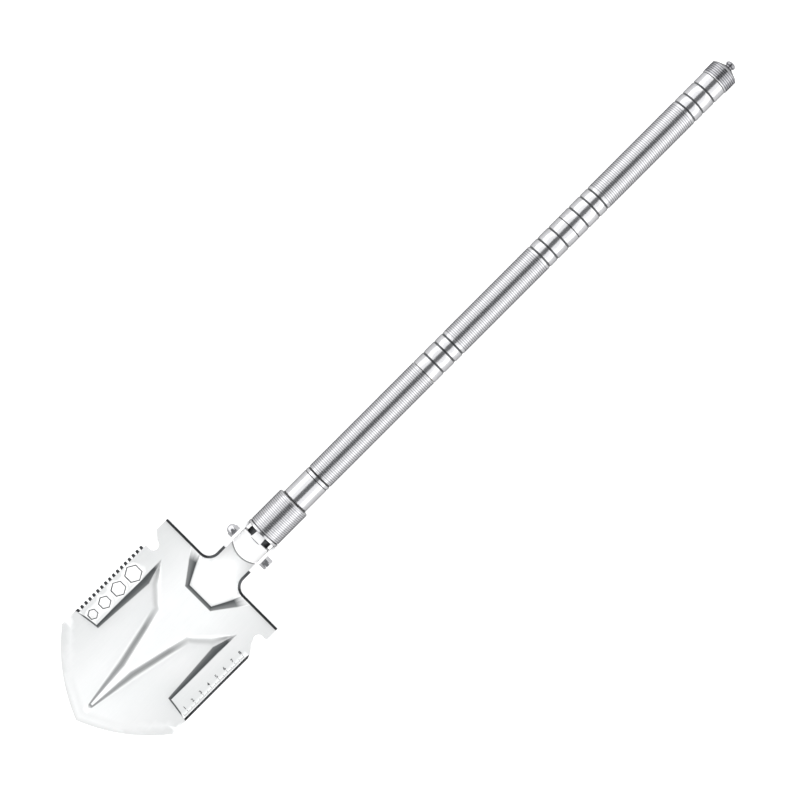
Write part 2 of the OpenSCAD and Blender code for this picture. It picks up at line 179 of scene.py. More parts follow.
class Finish:
    """A Principled material under construction, with short calls for its nodes."""

    def __init__(self, name, metallic, roughness):
        self.material = bpy.data.materials.new(name)
        self.material.use_nodes = True
        self.tree = self.material.node_tree
        self.shader = self.tree.nodes["Principled BSDF"]
        self.shader.inputs["Metallic"].default_value = metallic
        self.shader.inputs["Roughness"].default_value = roughness
        self.place = self.tree.nodes.new("ShaderNodeTexCoord").outputs["Object"]

    def node(self, kind, **settings):
        made = self.tree.nodes.new(kind)
        for name, value in settings.items():
            setattr(made, name, value)
        return made

    def noise(self, scale, detail=3.0, stretch=(1.0, 1.0, 1.0)):
        """Noise from 0 to 1, finer along the axes with more stretch."""
        mapping = self.node("ShaderNodeMapping")
        mapping.inputs["Scale"].default_value = stretch
        self.tree.links.new(self.place, mapping.inputs["Vector"])
        made = self.node("ShaderNodeTexNoise")
        made.inputs["Scale"].default_value = scale
        made.inputs["Detail"].default_value = detail
        self.tree.links.new(mapping.outputs["Vector"], made.inputs["Vector"])
        return made.outputs["Fac"]

    def ramp(self, value, low, high):
        """Maps a value's 0.3..0.7 onto low..high."""
        made = self.node("ShaderNodeMapRange")
        made.inputs["From Min"].default_value = 0.3
        made.inputs["From Max"].default_value = 0.7
        made.inputs["To Min"].default_value = low
        made.inputs["To Max"].default_value = high
        self.tree.links.new(value, made.inputs["Value"])
        return made.outputs["Result"]

    def mix(self, value, first, second):
        """Goes from the first colour to the second."""
        made = self.node("ShaderNodeMix", data_type="RGBA")
        for socket, colour in ((made.inputs[6], first), (made.inputs[7], second)):
            if isinstance(colour, tuple):
                socket.default_value = (*colour, 1.0)
            else:
                self.tree.links.new(colour, socket)
        self.tree.links.new(value, made.inputs[0])
        return made.outputs[2]

    def colour(self, source):
        self.tree.links.new(source, self.shader.inputs["Base Color"])

    def rough(self, source):
        self.tree.links.new(source, self.shader.inputs["Roughness"])

    def bump(self, height, strength, distance):
        made = self.node("ShaderNodeBump")
        made.inputs["Strength"].default_value = strength
        made.inputs["Distance"].default_value = distance
        self.tree.links.new(height, made.inputs["Height"])
        self.tree.links.new(made.outputs["Normal"], self.shader.inputs["Normal"])


def metal(name, light, dark, roughness, spread, grain, stretch, relief, metallic=1.0, edge=1.0):
    """A metal with fine tool marks, slow colour drift and uneven gloss."""
    made = Finish(name, metallic, roughness)
    made.shader.inputs["Specular Tint"].default_value = (edge, edge, edge, 1.0)
    drift = made.ramp(made.noise(DRIFT_SCALE, 4.0), 0.0, 1.0)
    marks = made.noise(grain, 2.0, stretch)
    made.colour(made.mix(drift, dark, light))
    made.rough(made.ramp(marks, roughness - spread, roughness + spread))
    made.bump(marks, relief, TOOL_MARK)
    return made.material


def knurl_finish(name, light, dark, roughness, grain, edge):
    """Knurled alloy, with painted shade on the rows that the mesh's shade value marks as cuts."""
    made = Finish(name, 1.0, roughness)
    made.shader.inputs["Specular Tint"].default_value = (edge, edge, edge, 1.0)
    shade = made.node("ShaderNodeAttribute", attribute_name="shade")
    speck = made.noise(grain, 1.0)
    worn = made.mix(made.ramp(speck, 0.0, 0.3), light, dark)
    made.colour(made.mix(shade.outputs["Fac"], dark, worn))
    made.rough(made.ramp(speck, roughness + GLOSS_SWING, roughness - GLOSS_SWING))
    made.bump(speck, 0.3, 0.00005)
    return made.material


def blade_finish():
    """Bead-blasted steel with faint rolling lines, darkened by the mesh's shade value, which holds painted
    light and shade.
    """
    made = Finish("blade_steel", 0.12, 0.5)
    made.shader.inputs["Specular IOR Level"].default_value = 0.2
    shade = made.node("ShaderNodeAttribute", attribute_name="shade")
    blast = made.noise(2600.0, 2.0)
    rolled = made.noise(60.0, 3.0, (1.0, 14.0, 1.0))
    drift = made.ramp(made.noise(22.0, 4.0), 0.0, 1.0)
    clean = made.mix(drift, (0.76, 0.77, 0.77), (0.81, 0.81, 0.81))
    worn = made.mix(made.ramp(rolled, 0.0, 0.25), clean, (0.70, 0.715, 0.715))
    # Painted light and shade: the shade value takes the steel from near-black up to its full colour.
    made.colour(made.mix(shade.outputs["Fac"], (0.03, 0.034, 0.036), worn))
    made.rough(made.ramp(blast, 0.44, 0.58))
    made.bump(blast, 0.25, 0.00003)
    return made.material


def dark_finish(name, light, dark, roughness):
    """Dark satin steel: painted shade on edges, pockets, grooves, seams and hole rims, and the ruler's own
    marks.
    """
    made = Finish(name, 0.7, roughness)
    drift = made.ramp(made.noise(120.0, 4.0), 0.0, 1.0)
    grind = made.noise(900.0, 2.0, (0.2, 1.0, 1.0))
    made.colour(made.mix(drift, dark, light))
    made.rough(made.ramp(grind, roughness - 0.08, roughness + 0.1))
    made.bump(grind, 0.3, TOOL_MARK)
    return made.material


def rubber_finish():
    made = Finish("seal_rubber", 0.0, 0.55)
    speck = made.noise(900.0, 4.0)
    made.colour(made.mix(made.ramp(speck, 0.0, 1.0), (0.012, 0.012, 0.013), (0.035, 0.035, 0.036)))
    made.rough(made.ramp(speck, 0.45, 0.7))
    made.bump(speck, 0.3, 0.00005)
    return made.material


def floor_finish():
    made = Finish("floor_pale", 0.0, 0.8)
    mottle = made.ramp(made.noise(3.0, 3.0), 0.0, 1.0)
    made.colour(made.mix(mottle, (0.44, 0.44, 0.44), (0.46, 0.46, 0.46)))
    made.shader.inputs["Emission Color"].default_value = (1.0, 1.0, 1.0, 1.0)
    made.shader.inputs["Emission Strength"].default_value = FLOOR_GLOW
    return made.material


AROUND = (900.0, 8.0, 8.0)
EVEN = (1.0, 1.0, 1.0)
LOOKS = {
    "blade": blade_finish(),
    # Painted shade, dark: teeth, knife, shoulder tops and the pocket behind the joint head.
    "step": dark_finish("pressed_step", (0.035, 0.037, 0.040), (0.012, 0.013, 0.014), 0.45),
    # Painted shade in grooves, seams and round the holes; also the colour of the ruler's real marks.
    "groove": dark_finish("groove_shade_and_marks", (0.07, 0.072, 0.075), (0.03, 0.032, 0.034), 0.4),
    # Lighter painted shade along the tops of the neck's fillets.
    "mark": dark_finish("painted_fillet_shade", (0.10, 0.105, 0.11), (0.05, 0.052, 0.055), 0.6),
    "bolt": metal("bolt_steel", (0.50, 0.50, 0.51), (0.42, 0.42, 0.44),
                  0.20, 0.04, 300.0, EVEN, 0.1, 1.0, 0.5),
    "head": metal("head_steel", (0.74, 0.74, 0.74), (0.69, 0.69, 0.70),
                  0.42, 0.06, 1400.0, EVEN, 0.2, 0.15),
    "smooth": metal("smooth_alloy", (0.45, 0.45, 0.46), (0.40, 0.40, 0.41), 0.20, 0.04, 4.0, AROUND, 0.2,
                    1.0, 0.4),
    "knurl": knurl_finish("knurled_alloy", (0.52, 0.52, 0.53), (0.17, 0.17, 0.18), 0.25, 900.0, 0.35),
    "coarse": knurl_finish("knurled_cap", (0.40, 0.40, 0.41), (0.07, 0.07, 0.08), 0.26, 900.0, 0.3),
    "brass": metal("brass", (0.78, 0.60, 0.30), (0.62, 0.45, 0.20), 0.28, 0.06, 4.0, AROUND, 0.2),
    "striker": metal("striker_steel", (0.22, 0.22, 0.23), (0.12, 0.12, 0.13), 0.16, 0.04, 4.0, AROUND, 0.1),
    "seal": rubber_finish(),
}


# ---------------------------------------------------------------- pieces

def make_piece(name, verts, faces, body, slot, nodes, looks, paint=None, sharp=35.0, shades=None):
    """A mesh piece from points in millimetres, standing for CAD nodes and riding on their body."""
    mesh = bpy.data.meshes.new(name)
    mesh.from_pydata([in_frame(v) for v in verts], [], faces)
    for look in looks:
        mesh.materials.append(LOOKS[look])
    if paint:
        mesh.polygons.foreach_set("material_index", paint)
    if shades:
        mesh.attributes.new("shade", "FLOAT", "POINT").data.foreach_set("value", shades)
    mesh.polygons.foreach_set("use_smooth", [True] * len(mesh.polygons))
    mesh.set_sharp_from_angle(angle=math.radians(sharp))
    piece = bpy.data.objects.new(name, mesh)
    bpy.context.scene.collection.objects.link(piece)
    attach(piece, body)
    if nodes:
        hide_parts(*nodes)
    return piece


SIDES = 128
GROOVE_DEPTH = 0.5
SHALLOW = 0.1
NEAR = 0.01
KNURL_PITCH = 2.0
KNURL_DEPTH = 0.15
KNURL_MIN_R = 10.0
KNURL_EDGE = 0.2
THREAD_ROWS = 6
THREAD_FLANK = 2.6


def plain(x, r):
    return [(x, [r] * SIDES)]


def knurl(x0, x1, r):
    """Rows of a diamond knurl: every other point stands at the full radius."""
    count = round((x1 - x0) / (KNURL_PITCH / 2))
    return [(x0 + (x1 - x0) * j / count,
             [r if (a + j) % 2 == 0 else r - KNURL_DEPTH for a in range(SIDES)])
            for j in range(count + 1)]


def thread(x0, x1, r, pitch, depth):
    """Rows of a screw thread, which winds once round in each pitch."""
    count = round((x1 - x0) / pitch * THREAD_ROWS)
    rows = []
    for j in range(count + 1):
        x = x0 + (x1 - x0) * j / count
        radii = []
        for a in range(SIDES):
            phase = (x / pitch - a / SIDES) % 1.0
            radii.append(r - depth * min(1.0, THREAD_FLANK * abs(phase - 0.5)))
        rows.append((x, radii))
    return rows


def skin(rows, closed):
    """Points and faces of rows, and each face's row; closed rows join up, open ones are capped."""
    verts = []
    for x, radii in rows:
        for a, r in enumerate(radii):
            turn = 2 * math.pi * a / SIDES
            verts.append((x, r * math.cos(turn), r * math.sin(turn)))
    faces = []
    owner = []
    last = len(rows) if closed else len(rows) - 1
    for j in range(last):
        here = rows[j][1]
        there = rows[(j + 1) % len(rows)][1]
        flat = min(here) == max(here) and min(there) == max(there)
        base = j * SIDES
        top = (j + 1) % len(rows) * SIDES
        for a in range(SIDES):
            b = (a + 1) % SIDES
            quad = (base + a, base + b, top + b, top + a)
            if flat:
                faces.append(quad)
                owner.append(j)
            elif here[a] + there[b] < here[b] + there[a]:
                faces += [quad[:3], (quad[0], quad[2], quad[3])]
                owner += [j, j]
            else:
                faces += [(quad[0], quad[1], quad[3]), quad[1:]]
                owner += [j, j]
    if not closed:
        faces += [tuple(reversed(range(SIDES))), tuple(range(last * SIDES, (last + 1) * SIDES))]
        owner += [0, last - 1]
    return verts, faces, owner


def turned_piece(name, rows, body, slot, nodes, looks, knurled=(), closed=True, sharp=35.0):
    """A turned piece; knurled bands take the second look, sunk bands that don't rise the third, which is
    painted shade.
    """
    verts, faces, owner = skin(rows, closed)
    outer = max(max(radii) for x, radii in rows)
    bands = []
    for j, (x, radii) in enumerate(rows):
        here = max(radii)
        there = max(rows[(j + 1) % len(rows)][1])
        in_knurl = any(a - NEAR <= x < b - NEAR for a, b in knurled) and here > KNURL_MIN_R
        # Sunk bands are painted dark: painted shade in the grooves and at the seams.
        sunk = there <= here and outer - GROOVE_DEPTH - SHALLOW < there < outer - SHALLOW
        bands.append(1 if in_knurl else 2 if sunk and len(looks) > 2 else 0)
    paint = [bands[j] for j in owner]
    # Painted shade in the knurl: every other knurled row counts as a cut and is painted dark.
    shades = []
    for j, (x, radii) in enumerate(rows):
        cut = min(radii) < max(radii) and j % 2 == 1
        shades += [0.0 if cut else 1.0] * SIDES
    return make_piece(name, verts, faces, body, slot, nodes, looks, paint, sharp, shades)


def bar(*points):
    """Plain rows through (x, radius) points."""
    return [row for x, r in points for row in plain(x, r)]


# ---------------------------------------------------------------- handle

CHAMFER = 0.45
CHAMFER_SHARE = 0.6
TUBE_BORE = 11.7
GROOVES = (12.5, 26.2, 36.2)
GROOVE_WIDTH = 2.7
GROOVE_WALL = 0.75
KNURL_START = 39.0
LOWER_MARGIN = 1.0
ADAPTER_BORE = 9.02


def groove(x, r):
    """A round-bottomed groove centred on x."""
    half = GROOVE_WIDTH / 2
    return bar((x - half, r), (x - half + GROOVE_WALL, r - GROOVE_DEPTH),
               (x + half - GROOVE_WALL, r - GROOVE_DEPTH), (x + half, r))


def bored(x0, x1, bore, rows, r):
    """Outside rows between chamfered ends, closed by a bore."""
    length = CHAMFER * CHAMFER_SHARE
    return (bar((x0, bore), (x0, r - CHAMFER), (x0 + length, r)) + rows
            + bar((x1 - length, r), (x1, r - CHAMFER), (x1, bore)))


def make_grip_tube(node, body):
    x0, x1 = span(node)
    r = reach(node)
    rows = []
    for g in GROOVES:
        rows += groove(x0 + g, r)
    rows += bar((x0 + KNURL_START, r))
    rows += knurl(x0 + KNURL_START + KNURL_EDGE, x1 - KNURL_START - KNURL_EDGE, r)
    rows += bar((x1 - KNURL_START, r))
    for g in reversed(GROOVES):
        rows += groove(x1 - g, r)
    turned_piece(node + "_shell", bored(x0, x1, TUBE_BORE, rows, r), body, "knurled_alloy", [node],
                 ["smooth", "knurl", "groove"], [(x0 + KNURL_START, x1 - KNURL_START)])


def make_lower_tube():
    x0, x1 = span("lower_tube")
    r = reach("lower_tube")
    ends = (x0 + LOWER_MARGIN, x1 - LOWER_MARGIN)
    turned_piece("lower_tube_shell", bored(x0, x1, TUBE_BORE, knurl(*ends, r), r), "lower",
                 "knurled_alloy", ["lower_tube"], ["smooth", "knurl", "groove"], [ends])


def make_sleeve(node, body, slot, look, bore):
    x0, x1 = span(node)
    r = reach(node)
    turned_piece(node + "_shell", bored(x0, x1, bore, bar(((x0 + x1) / 2, r)), r), body, slot,
                 [node], [look])


COLLAR_BORE = 12.08
COLLAR_MOUTH = 13.6
COLLAR_MOUTH_DEPTH = 9.0
COLLAR_RIM = 1.2
COLLAR_FRONT = ((0.0, 1.0), (0.6, 0.3), (COLLAR_RIM, 0.0))
COLLAR_REAR = ((COLLAR_RIM, 0.0), (0.5, 0.3), (0.0, 0.9))
MOUTH_CHAMFER = (0.6, 0.5)


def make_collar():
    """The knurled sleeve, with a plain rim at each end and a wider mouth at the rear."""
    x0, x1 = span("locking_collar")
    r = reach("locking_collar")
    mouth = x1 - COLLAR_MOUTH_DEPTH
    rows = bar((x0, COLLAR_BORE), *[(x0 + inset, r - drop) for inset, drop in COLLAR_FRONT])
    rows += knurl(x0 + COLLAR_RIM + KNURL_EDGE, x1 - COLLAR_RIM - KNURL_EDGE, r)
    rows += bar(*[(x1 - inset, r - drop) for inset, drop in COLLAR_REAR])
    rows += bar((x1, COLLAR_MOUTH + MOUTH_CHAMFER[1]), (x1 - MOUTH_CHAMFER[0], COLLAR_MOUTH),
                (mouth, COLLAR_MOUTH), (mouth, COLLAR_BORE))
    turned_piece("locking_collar_shell", rows, "collar", "knurled_alloy", ["locking_collar"],
                 ["smooth", "knurl"], [(x0 + COLLAR_RIM, x1 - COLLAR_RIM)])


STUD_R = 9.0
CAP_THREAD_DEPTH = 12.0
CAP_THREAD_R = STUD_R + 0.1
CAP_RIM = 1.0
CAP_FRONT = ((0.0, 0.8), (0.5, 0.2), (0.9, 0.0))
CAP_KNURL_END = 0.5
CONE_START = 13.3
CONE_KNURL_END = 0.6
CONE_FRONT = ((0.0, 0.5), (1.1, 1.9))
CONE_REAR = ((0.5, 6.1), (0.0, 5.2))
STRIKER_HOLE_R = 2.42
STRIKER_ROOT = ((0.0, 1.6), (0.3, 2.4))
STRIKER_NECK = ((0.1, 2.4), (0.1, 4.0), (1.5, 3.6), (2.0, 4.2), (2.6, 4.75))
STRIKER_TIP = ((2.4, 4.8), (1.5, 4.4), (0.7, 3.5), (0.2, 2.1), (0.0, 0.6))
STRIKER_SHARP = 50.0


def make_tail_cap():
    """The knurled cap with its cone, and the striker stud screwed into it."""
    x0, x1 = span("tail_cap")
    r = reach("tail_cap")
    cone = x0 + CONE_START
    thread_end = x0 + CAP_THREAD_DEPTH
    rows = bar((x0, CAP_THREAD_R), *[(x0 + inset, r - drop) for inset, drop in CAP_FRONT])
    rows += knurl(x0 + CAP_RIM, cone - CAP_KNURL_END, r)
    rows += bar(*[(cone + inset, r - drop) for inset, drop in CONE_FRONT])
    rows += bar(*[(x1 - inset, radius) for inset, radius in CONE_REAR])
    rows += bar((x1, STRIKER_HOLE_R), (thread_end, STRIKER_HOLE_R), (thread_end, CAP_THREAD_R))
    turned_piece("tail_cap_shell", rows, "cap", "knurled_alloy", ["tail_cap"],
                 ["smooth", "coarse"], [(x0 + CAP_RIM, x1 - CONE_KNURL_END)])
    root, tip = span("striker_stud")
    rows = bar(*[(root + inset, radius) for inset, radius in STRIKER_ROOT])
    rows += bar(*[(x1 + inset, radius) for inset, radius in STRIKER_NECK])
    rows += bar(*[(tip - inset, radius) for inset, radius in STRIKER_TIP])
    turned_piece("striker", rows, "cap", "striker_steel", ["striker_stud"], ["striker"],
                 closed=False, sharp=STRIKER_SHARP)


STUD_PITCH = 1.5
STUD_CUT = 0.75
STUD_GROOVE_R = 7.9
STUD_END = ((1.2, 8.1), (0.0, 7.2))
PLUG_START = ((0.0, 10.6), (1.0, 11.68))
PLUG_END = ((1.0, 11.68), (0.0, 10.8), (0.0, STUD_GROOVE_R), (-2.0, STUD_GROOVE_R))


def stud_rows(start, end):
    """The threaded length of a stud, and its rounded end."""
    rows = thread(start, end - 1.6, STUD_R, STUD_PITCH, STUD_CUT)
    return rows + bar(*[(end - inset, radius) for inset, radius in STUD_END])


def make_coupler(node, body, rear):
    """A plug inside a tube's rear end and the threaded stud that stands out behind it."""
    x0, x1 = span(node)
    rows = bar(*[(x0 + inset, radius) for inset, radius in PLUG_START])
    rows += bar(*[(rear - inset, radius) for inset, radius in PLUG_END])
    rows += stud_rows(rear + 2.2, x1)
    turned_piece(node + "_screw", rows, body, "head_steel", [node], ["head"], closed=False)


def make_handle():
    make_sleeve("head_adapter", "head", "smooth_alloy", "smooth", ADAPTER_BORE)
    make_sleeve("adapter_ring", "head", "smooth_alloy", "smooth", ADAPTER_BORE)
    make_sleeve("thrust_ring", "ring", "smooth_alloy", "smooth", COLLAR_BORE)
    make_lower_tube()
    make_grip_tube("middle_tube", "middle")
    make_grip_tube("upper_tube", "upper")
    make_collar()
    make_tail_cap()
    make_coupler("lower_coupler", "lower", span("lower_tube")[1])
    make_coupler("middle_coupler", "middle", span("middle_tube")[1])
    make_coupler("tail_plug", "upper", span("upper_tube")[1])


# ---------------------------------------------------------------- fold joint

TONGUE_HALF = 14.35
TONGUE_HEIGHT = 11.0
TONGUE_ROUND = 14.6
TONGUE_BACK = 9.5
TONGUE_DOME = 20.6
TONGUE_FRONT = -10.8
NECK_R = 12.0
EDGE = 0.5
TONGUE_SLICES = 16
TONGUE_STEPS = 8
TONGUE_TAPER = 0.02
TONGUE_NOSE = 0.6
NECK_PITCH = 1.6
NECK_CUT = 0.8
NECK_PLAIN = 17.6
THREAD_RUNOUT = 0.4
RELIEF_R = 11.9
RELIEF_ROWS = 2
RIB_RISE = 0.05
RIB_ENDS = (5.6, 4.8)
CORNERS = ((-1, -1), (1, -1), (1, 1), (-1, 1))
BOX_FACES = ((3, 2, 1, 0), (4, 5, 6, 7), (0, 1, 5, 4), (1, 2, 6, 5), (2, 3, 7, 6), (3, 0, 4, 7))


def tongue():
    """The tongue: slices across the bolt, each rounded at its front, broken at its edges."""
    slices = []
    for i in range(-TONGUE_SLICES, TONGUE_SLICES + 1):
        y = TONGUE_HALF * i / TONGUE_SLICES
        front = TONGUE_FRONT + TONGUE_DOME - math.sqrt(TONGUE_DOME ** 2 - y * y)
        inset = EDGE if abs(i) == TONGUE_SLICES else 0.0
        slices.append((y, front + inset, TONGUE_BACK - inset, TONGUE_HEIGHT - inset))
    side_front = slices[0][1] - EDGE
    near = [(s * (TONGUE_HALF - EDGE), side_front, TONGUE_BACK, TONGUE_HEIGHT) for s in (-1, 1)]
    slices = [slices[0], near[0]] + slices[2:-2] + [near[1], slices[-1]]
    verts = []
    for y, front, back, height in slices:
        top = [(back, height - EDGE), (back - EDGE, height)]
        for i in range(TONGUE_STEPS + 1):
            share = (i + 0.5) / (TONGUE_STEPS + 0.5)
            x = back - EDGE - (back - EDGE - front) * share
            top.append((x, min(height, math.sqrt(TONGUE_ROUND ** 2 - x * x)) - TONGUE_TAPER * i))
        top.append((front, height * TONGUE_NOSE))
        verts += [(x, y, -z) for x, z in top] + [(x, y, z) for x, z in reversed(top)]
    count = len(verts) // len(slices)
    faces = []
    for j in range(len(slices) - 1):
        for a in range(count):
            b = (a + 1) % count
            faces.append((j * count + a, (j + 1) * count + a, (j + 1) * count + b, j * count + b))
    faces += [tuple(range(count)), tuple(reversed(range(len(verts) - count, len(verts))))]
    return verts, faces


def make_joint_head():
    """Tongue, threaded neck and rear stud of the head, as one piece."""
    adapter = span("head_adapter")[0]
    end = span("joint_head")[1]
    ring_end = span("adapter_ring")[1]
    relief_end = span("thrust_ring")[0]
    plain_start = adapter - NECK_PLAIN
    rows = bar((TONGUE_BACK - 1.5, RELIEF_R), (relief_end - 0.6, RELIEF_R))
    rows += thread(relief_end, plain_start - THREAD_RUNOUT, NECK_R, NECK_PITCH, NECK_CUT)
    rows += bar((plain_start, NECK_R), (adapter - 0.1, NECK_R), (adapter, STUD_R),
                (ring_end, STUD_R), (ring_end + 1.0, STUD_GROOVE_R), (ring_end + 2.6, STUD_GROOVE_R))
    rows += stud_rows(ring_end + 2.8, end)
    shank, shank_faces, owner = skin(rows, False)
    rib_ends = ((TONGUE_BACK - 1.0, RIB_ENDS[0]), (relief_end - 0.1, RIB_ENDS[1]))
    rib = [(x, sy * half, sz * (RELIEF_R + RIB_RISE)) for x, half in rib_ends for sy, sz in CORNERS]
    verts, faces = tongue()
    # Painted shade: the relief rows behind the tongue take the dark look, in the pocket before the collar.
    paint = [0] * (len(faces) + len(BOX_FACES)) + [1 if j < RELIEF_ROWS else 0 for j in owner]
    verts, faces = merge((verts, faces), (rib, BOX_FACES), (shank, shank_faces))
    make_piece("joint_head_body", verts, faces, "head", "head_steel", ["joint_head"],
               ["head", "step"], paint)


def spin_y(profile, sides):
    """A closed solid turned about the bolt, from (y, radius) points."""
    turns = [2 * math.pi * a / sides for a in range(sides)]
    verts = [(r * math.sin(turn), y, r * math.cos(turn)) for y, r in profile for turn in turns]
    return verts, solid_faces(len(profile), sides, profile[-1][0] < profile[0][0])


def hexagon(profile, across):
    """A hexagon bar whose corners are cut back to the profile's radius, as a nut's chamfer is."""
    verts = []
    for y, limit in profile:
        for a in range(HEXAGON_SIDES):
            turn = 2 * math.pi * a / HEXAGON_SIDES
            off = (turn + math.pi / 6) % (math.pi / 3) - math.pi / 6
            r = min(limit, across / 2 / math.cos(off))
            verts.append((r * math.sin(turn), y, r * math.cos(turn)))
    return verts, solid_faces(len(profile), HEXAGON_SIDES, profile[-1][0] < profile[0][0])


def merge(*solids):
    """Several solids as one list of points and faces."""
    verts = []
    faces = []
    for points, shapes in solids:
        shift = len(verts)
        verts += points
        faces += [tuple(i + shift for i in f) for f in shapes]
    return verts, faces


HEXAGON_SIDES = 48
BOLT_SIDES = 32
BOLT_ACROSS = 9.6
BOLT_HEAD = ((6.0, 5.5), (0.7, 5.5), (0.2, 5.0), (0.0, 4.4))
BOLT_SHANK_START = 5.5
BOLT_SHANK_R = 3.98
BOLT_END = ((-0.4, BOLT_SHANK_R), (0.0, 3.6))
NUT_ACROSS = 10.0
NUT_BODY = ((0.0, 5.3), (0.4, 5.8), (3.8, 5.8), (4.4, 5.0))
DOME_START = 4.3
DOME_R = 4.7
DOME_TURNS = (0.0, 0.25, 0.5, 0.75, 1.0, 1.25, 1.45)
NUT_SHARP = 28.0


def make_fasteners():
    """Fold bolt with a chamfered hexagon head, and an acorn nut at its other end."""
    lo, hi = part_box("pivot_bolt")
    head_y, end_y = lo.y / MM, hi.y / MM
    head = hexagon([(head_y + inset, limit) for inset, limit in BOLT_HEAD], BOLT_ACROSS)
    profile = [(head_y + BOLT_SHANK_START, BOLT_SHANK_R)] + [(end_y + inset, r) for inset, r in BOLT_END]
    shank = spin_y(profile, BOLT_SIDES)
    make_piece("fold_bolt", *merge(head, shank), "blade", "bolt_steel", ["pivot_bolt"], ["bolt"])
    lo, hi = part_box("acorn_nut")
    base, top = lo.y / MM, hi.y / MM
    nut = hexagon([(base + inset, limit) for inset, limit in NUT_BODY], NUT_ACROSS)
    rise = top - base - DOME_START
    profile = [(base + DOME_START + rise * math.sin(t), DOME_R * math.cos(t)) for t in DOME_TURNS]
    dome = spin_y(profile, HEXAGON_SIDES)
    make_piece("dome_nut", *merge(nut, dome), "blade", "bolt_steel", ["acorn_nut"],
               ["bolt"], sharp=NUT_SHARP)


def finish_cad_nodes():
    """Better materials for the CAD nodes that are shown as they are."""
    plain_nodes = {"bolt_washers": "bolt", "pivot_bush": "brass", "collar_o_ring": "seal",
                   "head_o_ring": "seal", "lower_insert": "brass", "lower_o_ring": "seal",
                   "middle_insert": "brass", "middle_o_ring": "seal", "upper_insert": "brass",
                   "tail_o_ring": "seal"}
    for node, look in plain_nodes.items():
        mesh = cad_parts[node].data
        if not mesh.materials:
            mesh.materials.append(LOOKS[look])
        for i in range(len(mesh.materials)):
            mesh.materials[i] = LOOKS[look]


# ---------------------------------------------------------------- blade

SHEET = 2.4
FACE_Z = -14.3
FLOOR_Z = -18.5
SCOOP_Z = -21.3
HALF_W = 69.9
SCOOP_R = HALF_W * HALF_W / (2 * (FACE_Z - SCOOP_Z))
SHOULDER_X = -36.6
SIDE_X = -169.6
TIP_X = -223.6
TIP_R = 160.0
PLANK_END_X = -153.0
BEVEL_W = 8.5
BEVEL_DROP = 0.9
BEVEL_TIP_X = TIP_X + BEVEL_W * 1.15
RIDGE_X = -155.8
RIB_TIP_X = -202.4
TOOTH_PITCH = 5.0
TOOTH_W = 3.0
TOOTH_DEPTH = 3.4
TOOTH_COUNT = 17
TOOTH_CORNER = ((0.2, 0.9), (0.6, 0.15))
TOOTH_DROP = 1.0
SAW_START_X = -67.0
SAW_FIRST_X = -69.7
NOTCH_R = 5.4
SAW_NOTCH = (-61.6, 62.4)
SAW_NOTCH_LEAD = ((-49.5, HALF_W), (-52.8, 66.3))
RULER_NOTCH = (-55.4, -65.4)
RULER_NOTCH_LEAD = ((-74.0, -HALF_W), (-70.0, -68.4), (-66.0, -65.6), (-62.6, -62.6))
RULER_NOTCH_REAR = ((-50.6, -67.6), (-49.5, -HALF_W))
KNIFE_W = 2.3
KNIFE_DROP = 1.2
KNIFE_END_X = -72.0
KNIFE_LINE_X = (PLANK_END_X + 0.6, -110.0, -73.5)
HOLE_DROP = 0.45
HOLE_Y = 56.5
HOLES = ((-92.6, 13.0), (-111.6, 11.1), (-128.9, 9.2), (-143.9, 7.3))
# Width of the band round each wrench hole that is painted dark as a shadow line.
HOLE_RIM = 0.95
NECK_ARC_R = 10.9
NECK_CENTRE = (-25.9, 26.9)
NECK_FOOT_Y = 39.5
WEB_R = 23.0
WEB_X = -14.4
WEB_EDGE_W = 1.4
WEB_YS = (3.0, 6.5, 10.0, 13.0)
EAR_Y = 15.8
RECESS_FRONT_X = -64.0
RECESS_HALF_Y = 13.5
PLANK_INNER_Y = 47.9
PLANK_MID_X = -100.0
GRID = 4.5
GRID_SHIFT = 0.31
GRID_CLEAR = 1.6
CREASE_XS = (RIDGE_X, -172.0, -188.0, RIB_TIP_X)
RIB_FOOT = ((-206.5, 2.8), (-209.0, 0.0))
# Painted shade on the tip's ground bevel: along its inner line, then at its outer edge.
BEVEL_SHADES = (0.72, 0.62)
TIP_STEPS = 24

# Lines of the pressed shapes on the saw side: (upper edge, lower edge) pairs in plan.
PLANK_WALL = (((-65.2, 48.0), (-65.2, 48.0)), ((-76.0, 48.0), (-76.5, 44.2)),
              ((-89.4, 48.0), (-89.4, 39.9)), ((-110.0, 48.0), (-110.0, 41.4)),
              ((-130.0, 47.9), (-130.0, 42.9)), ((-148.2, 47.6), (-150.4, 44.4)))
PLANK_END = (((-148.2, 47.6), (-150.4, 44.4)), ((-149.0, 54.0), (-151.2, 53.0)),
             ((-150.3, 61.5), (-152.1, 61.0)), ((PLANK_END_X, HALF_W), (PLANK_END_X, HALF_W)))
ARM = (((-65.2, 48.0), (-65.2, 48.0)), ((-73.0, 40.3), (-76.5, 44.2)), ((-81.5, 31.9), (-89.4, 39.9)),
       ((-93.9, 19.7), (-99.5, 28.2)), ((-97.5, 14.3), (-102.9, 24.2)))
RIB = (((-97.5, 14.3), (-102.9, 24.2)), ((-117.0, 9.5), (-122.0, 20.3)), ((-136.0, 4.9), (-141.0, 16.4)),
       ((RIDGE_X, 0.0), (-160.0, 12.4)), ((-172.0, 0.0), (-176.0, 9.2)), ((-188.0, 0.0), (-191.0, 6.1)),
       ((RIB_TIP_X, 0.0), (-206.5, 2.8)))
RECESS = (((SHOULDER_X, 39.5), (SHOULDER_X, 26.9)), ((-48.0, 31.1), (-46.0, 22.5)),
          ((-67.9, 16.1), (-64.3, 13.5)))
RECESS_BACK = (((-67.9, 16.1), (-64.3, 13.5)), ((-67.9, -16.1), (-64.3, -13.5)))
